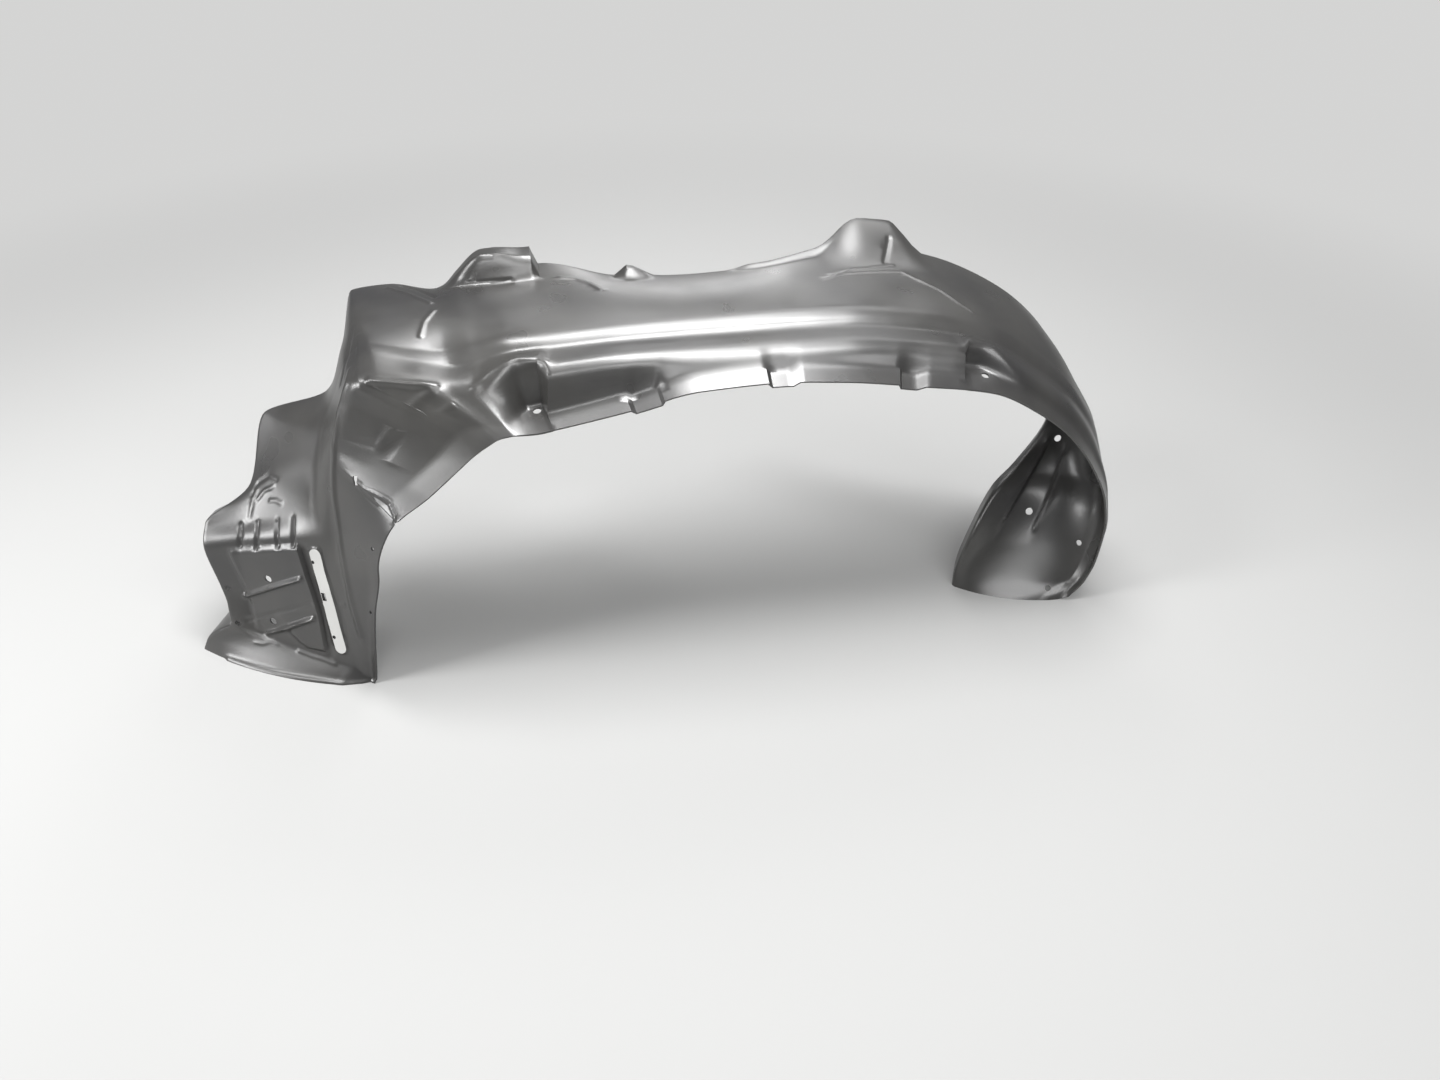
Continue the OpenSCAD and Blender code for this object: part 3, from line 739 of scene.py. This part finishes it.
def press_lines(obj, shift, outer_count):
    """Refines the sheet near the pressed lines and moves both of its faces by their profile."""
    bm = bmesh.new()
    bm.from_mesh(obj.data)
    side = bm.verts.layers.float.new("side")
    for k, vert in enumerate(bm.verts):
        vert[side] = 0 if k < outer_count else 1
    lines = [(height, width, np.array(points, float) - shift) for height, width, points in CREASES]
    land = np.array(LAND, float) - shift
    half = LAND_W / 2
    reaches = [(CREASE_REACH * width + SHEET_T, line) for _, width, line in lines]
    refine_near(bm, reaches + [(half + LAND_MARGIN, land)])
    points = np.array([v.co for v in bm.verts]) / MM
    sides = np.array([v[side] for v in bm.verts])
    outer = sides < 0.5
    rise = crease_rise(points, sides, lines)
    away = distance_to_land(bm, points, outer, land)
    rise += np.where(outer, LAND_H * (1 - smooth(half, half + LAND_SLOPE, away)), 0)
    # faces wholly on the land take material 1, whose pale colour is a painted highlight
    pale = (away < half + 0.01) & outer
    for face in bm.faces:
        if all(pale[v.index] for v in face.verts):
            face.material_index = 1
    for vert, up, inner in zip(bm.verts, rise, sides):
        if abs(up) > 0.01:
            vert.co += vert.normal * (up * (1 - 2 * inner) * MM)
    bm.verts.layers.float.remove(bm.verts.layers.float["side"])
    bm.to_mesh(obj.data)
    bm.free()


def black_plastic(name, clean, dusty):
    """Moulded polypropylene: fine grain, faint flow marks and a little dust. In pale colours it paints the
    land's highlight.
    """
    material = bpy.data.materials.new(name)
    material.use_nodes = True
    tree = material.node_tree
    nodes, links = tree.nodes, tree.links
    shader = nodes["Principled BSDF"]
    place = nodes.new("ShaderNodeTexCoord")

    def noise(scale, detail, roughness=0.5):
        node = nodes.new("ShaderNodeTexNoise")
        node.inputs["Scale"].default_value = scale
        node.inputs["Detail"].default_value = detail
        node.inputs["Roughness"].default_value = roughness
        links.new(place.outputs["Object"], node.inputs["Vector"])
        return node

    def ramp(source, first, second):
        node = nodes.new("ShaderNodeMapRange")
        node.inputs["To Min"].default_value = first
        node.inputs["To Max"].default_value = second
        links.new(source.outputs["Fac"], node.inputs["Value"])
        return node

    dust = ramp(noise(9, 4, 0.55), 0, 1)
    tint = nodes.new("ShaderNodeMix")
    tint.data_type = "RGBA"
    tint.inputs[6].default_value = clean
    tint.inputs[7].default_value = dusty
    links.new(dust.outputs["Result"], tint.inputs[0])
    links.new(tint.outputs[2], shader.inputs["Base Color"])
    gloss = ramp(noise(22, 2), *GLOSS)
    links.new(gloss.outputs["Result"], shader.inputs["Roughness"])
    grain = nodes.new("ShaderNodeBump")
    grain.inputs["Strength"].default_value = GRAIN_STRENGTH
    grain.inputs["Distance"].default_value = GRAIN_DEPTH
    links.new(noise(420, 2).outputs["Fac"], grain.inputs["Height"])
    wave = nodes.new("ShaderNodeBump")
    wave.inputs["Strength"].default_value = WAVE_STRENGTH
    wave.inputs["Distance"].default_value = WAVE_DEPTH
    links.new(noise(11, 1).outputs["Fac"], wave.inputs["Height"])
    links.new(wave.outputs["Normal"], grain.inputs["Normal"])
    links.new(grain.outputs["Normal"], shader.inputs["Normal"])
    shader.inputs["IOR"].default_value = PLASTIC_IOR
    shader.inputs["Specular IOR Level"].default_value = PLASTIC_SPECULAR
    return material


def hold_in_box(obj):
    """Moves points that are past the CAD's box onto it.

    The tongue's rim would go about 1.5 mm into the floor. Elsewhere it is less than 0.2 mm.
    """
    places = np.zeros(3 * len(obj.data.vertices))
    obj.data.vertices.foreach_get("co", places)
    held = np.clip(places.reshape(-1, 3), np.array(cad_box[0]), np.array(cad_box[1]))
    obj.data.vertices.foreach_set("co", held.ravel())
    obj.data.update()


def make_liner():
    verts, faces = sheet_mesh()
    shift = middle(verts)
    places = (verts - shift) * MM
    obj = mesh_object("liner_shell", places, faces)
    plastic = black_plastic("black_plastic", PLASTIC_CLEAN, PLASTIC_DUSTY)
    # the second material paints a highlight on the land as pale colour
    painted_highlight = black_plastic("painted_highlight_land", PAINTED_HIGHLIGHT_CLEAN, PAINTED_HIGHLIGHT_DUSTY)
    obj.data.materials.append(plastic)
    obj.data.materials.append(painted_highlight)
    press_lines(obj, shift, len(verts) // 2)
    tool = cutters(shift)
    tool.data.materials.append(plastic)
    cut(obj, tool)
    hold_in_box(obj)
    obj.data.polygons.foreach_set("use_smooth", [True] * len(obj.data.polygons))
    obj.data.set_sharp_from_angle(angle=math.radians(SHARP_ANGLE))
    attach(obj, "root")
    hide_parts("liner")


def floor_material():
    """A grey floor that fades into a plain pale backdrop far from the part."""
    material = bpy.data.materials.new("floor")
    material.use_nodes = True
    tree = material.node_tree
    shader = tree.nodes["Principled BSDF"]
    shader.inputs["Base Color"].default_value = FLOOR_COLOUR
    shader.inputs["Roughness"].default_value = FLOOR_ROUGHNESS
    place = tree.nodes.new("ShaderNodeTexCoord")
    away = tree.nodes.new("ShaderNodeVectorMath")
    away.operation = "LENGTH"
    tree.links.new(place.outputs["Object"], away.inputs[0])
    fade = tree.nodes.new("ShaderNodeMapRange")
    fade.interpolation_type = "SMOOTHSTEP"
    fade.inputs["From Min"].default_value = BACKDROP_START
    fade.inputs["From Max"].default_value = BACKDROP_FULL
    tree.links.new(away.outputs["Value"], fade.inputs["Value"])
    path = tree.nodes.new("ShaderNodeLightPath")
    seen = tree.nodes.new("ShaderNodeMath")
    seen.operation = "MULTIPLY"
    tree.links.new(fade.outputs["Result"], seen.inputs[0])
    tree.links.new(path.outputs["Is Camera Ray"], seen.inputs[1])
    plain = tree.nodes.new("ShaderNodeEmission")
    plain.inputs["Color"].default_value = BACKDROP_COLOUR
    blend = tree.nodes.new("ShaderNodeMixShader")
    tree.links.new(seen.outputs["Value"], blend.inputs["Fac"])
    tree.links.new(shader.outputs["BSDF"], blend.inputs[1])
    tree.links.new(plain.outputs["Emission"], blend.inputs[2])
    tree.links.new(blend.outputs["Shader"], tree.nodes["Material Output"].inputs["Surface"])
    return material


def make_floor():
    mesh = bpy.data.meshes.new("floor")
    bm = bmesh.new()
    bmesh.ops.create_grid(bm, x_segments=1, y_segments=1, size=FLOOR_HALF)
    bm.to_mesh(mesh)
    bm.free()
    floor = bpy.data.objects.new("floor", mesh)
    bpy.context.collection.objects.link(floor)
    mesh.materials.append(floor_material())


def lamp(name, place, target, size, power):
    data = bpy.data.lights.new(name, "AREA")
    data.shape = "RECTANGLE"
    data.size, data.size_y = size
    data.energy = power
    obj = bpy.data.objects.new(name, data)
    obj.location = place
    obj.rotation_euler = (Vector(target) - Vector(place)).to_track_quat("-Z", "Y").to_euler()
    obj.visible_camera = False
    bpy.context.collection.objects.link(obj)
    return obj


def make_world():
    """A weak even light, which the camera sees as a pale backdrop."""
    world = bpy.data.worlds.new("studio")
    bpy.context.scene.world = world
    world.use_nodes = True
    tree = world.node_tree
    background = tree.nodes["Background"]
    background.inputs["Color"].default_value = SKY_COLOUR
    path = tree.nodes.new("ShaderNodeLightPath")
    level = tree.nodes.new("ShaderNodeMapRange")
    level.inputs["To Min"].default_value = SKY_LIGHT
    level.inputs["To Max"].default_value = SKY_SEEN
    tree.links.new(path.outputs["Is Camera Ray"], level.inputs["Value"])
    tree.links.new(level.outputs["Result"], background.inputs["Strength"])


def make_lamps():
    """All lamps. The sheen lamp is a broad panel that is seen only as sheen on the plastic."""
    for name, place, target, size, power in LAMPS:
        obj = lamp(name, place, target, size, power)
        obj.visible_diffuse = name != SHEEN


def make_camera():
    data = bpy.data.cameras.new("camera")
    data.lens = CAMERA_LENS
    data.sensor_width = SENSOR_W
    camera = bpy.data.objects.new("camera", data)
    camera.location = CAMERA_AT
    camera.rotation_euler = (math.radians(90 - CAMERA_PITCH), 0, math.radians(-CAMERA_YAW))
    bpy.context.collection.objects.link(camera)
    bpy.context.scene.camera = camera


make_camera()
make_world()
make_lamps()
make_floor()
make_liner()
bpy.context.scene.view_settings.view_transform = "Standard"
